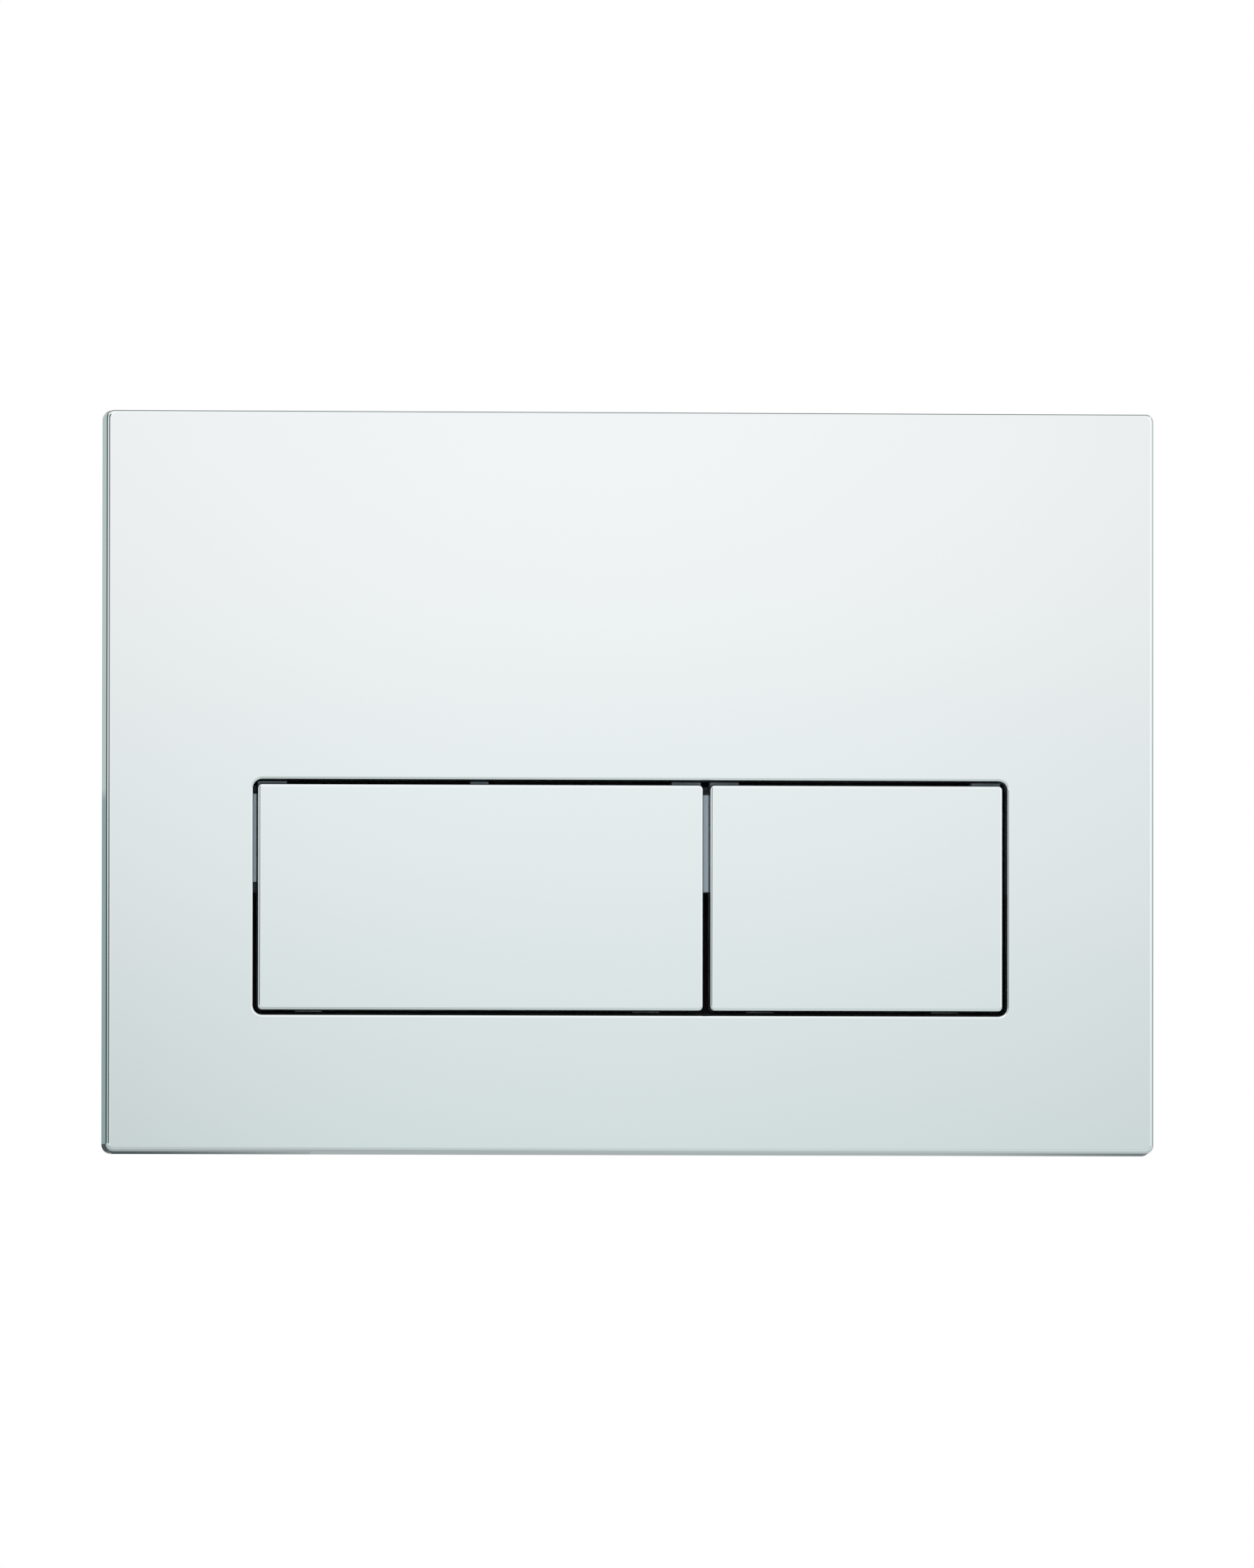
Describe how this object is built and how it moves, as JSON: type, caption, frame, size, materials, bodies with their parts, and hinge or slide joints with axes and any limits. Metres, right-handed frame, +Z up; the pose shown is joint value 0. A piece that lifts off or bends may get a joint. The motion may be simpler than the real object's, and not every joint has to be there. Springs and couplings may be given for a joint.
{
  "type": "flush button plate",
  "caption": "Chromed rectangular wall plate with a large and a small flush button hinged at their top edges, which push rods back into a concealed cistern.",
  "frame": {"origin": "on the finished wall, behind the centre of the plate", "axes": "+X to the right as the plate is seen, +Y into the wall, +Z up"},
  "size_m": [0.2348, 0.07, 0.1658],
  "materials": {
    "chrome": "polished",
    "black_plastic": "satin",
    "grey_plastic": "satin",
    "white_plastic": "satin",
    "steel": "satin",
    "rubber": "matte"
  },
  "bodies": {
    "plate": {"cover_plate": "chrome", "hinge_rail": "grey_plastic", "rail_screws": "steel", "button_housing": "black_plastic", "housing_screws": "steel", "full_hinge_pin": "steel", "half_hinge_pin": "steel", "full_stop_pads": "rubber", "half_stop_pads": "rubber", "full_return_spring": "steel", "half_return_spring": "steel", "mounting_frame": "white_plastic", "left_distance_bolt": "white_plastic", "right_distance_bolt": "white_plastic", "left_clamp_nut": "grey_plastic", "right_clamp_nut": "grey_plastic"},
    "full_button": {"full_flush_button": "chrome"},
    "half_button": {"half_flush_button": "chrome"},
    "full_rod": {"full_push_rod": "white_plastic", "full_rod_head": "grey_plastic", "full_lock_nut": "grey_plastic"},
    "half_rod": {"half_push_rod": "white_plastic", "half_rod_head": "grey_plastic", "half_lock_nut": "grey_plastic"}
  },
  "joints": [
    {"name": "full_button_hinge", "type": "hinge", "parent": "plate", "child": "full_button", "pos_m": [-0.0335, -0.005, -0.0046], "axis": [1, 0, 0], "range_deg": [0, 8], "stiffness_Nm_per_rad": 0.75, "springref_deg": -6.3},
    {"name": "half_button_hinge", "type": "hinge", "parent": "plate", "child": "half_button", "pos_m": [0.0505, -0.005, -0.0046], "axis": [1, 0, 0], "range_deg": [0, 8], "stiffness_Nm_per_rad": 0.75, "springref_deg": -6.3},
    {"name": "full_rod_slide", "type": "slide", "parent": "plate", "child": "full_rod", "axis": [0, 1, 0], "range_m": [0, 0.00513], "deforming": ["full_return_spring"]},
    {"name": "half_rod_slide", "type": "slide", "parent": "plate", "child": "half_rod", "axis": [0, 1, 0], "range_m": [0, 0.00513], "deforming": ["half_return_spring"]}
  ],
  "couplings": [
    {"joint": "full_rod_slide", "follows": "full_button_hinge", "m_per_rad": 0.0367},
    {"joint": "half_rod_slide", "follows": "half_button_hinge", "m_per_rad": 0.0367}
  ]
}
